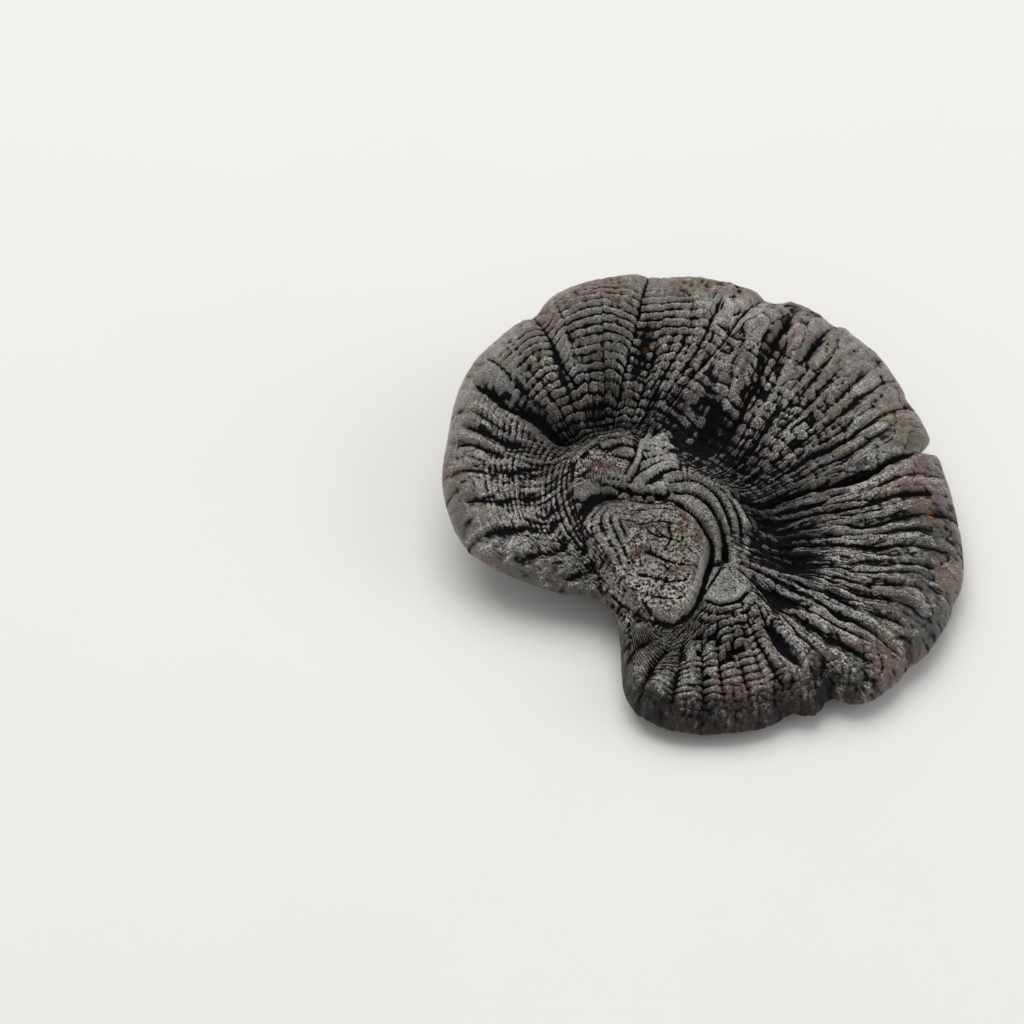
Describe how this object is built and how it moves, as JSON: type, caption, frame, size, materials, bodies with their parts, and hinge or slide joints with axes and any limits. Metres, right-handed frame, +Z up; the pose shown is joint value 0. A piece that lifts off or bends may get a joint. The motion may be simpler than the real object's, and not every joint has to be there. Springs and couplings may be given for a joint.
{
  "type": "dried reishi mushroom cap",
  "caption": "Dried, blackened bracket mushroom: folded kidney-shaped cap with growth rings and radial ridges round a scarred hub, on a short flat-cut stem.",
  "frame": {"origin": "middle of the flat stem cut that the cap rests on", "axes": "+Z up, out of the upper side; +Y towards the raised back rim; +X towards the right-hand fan of ridges, seen with the raised rim behind"},
  "size_m": [0.1515, 0.1444, 0.0431],
  "materials": {
    "cap": "dark, dry and slightly waxy, ridged"
  },
  "bodies": {
    "root": {"cap": "cap"}
  },
  "joints": []
}
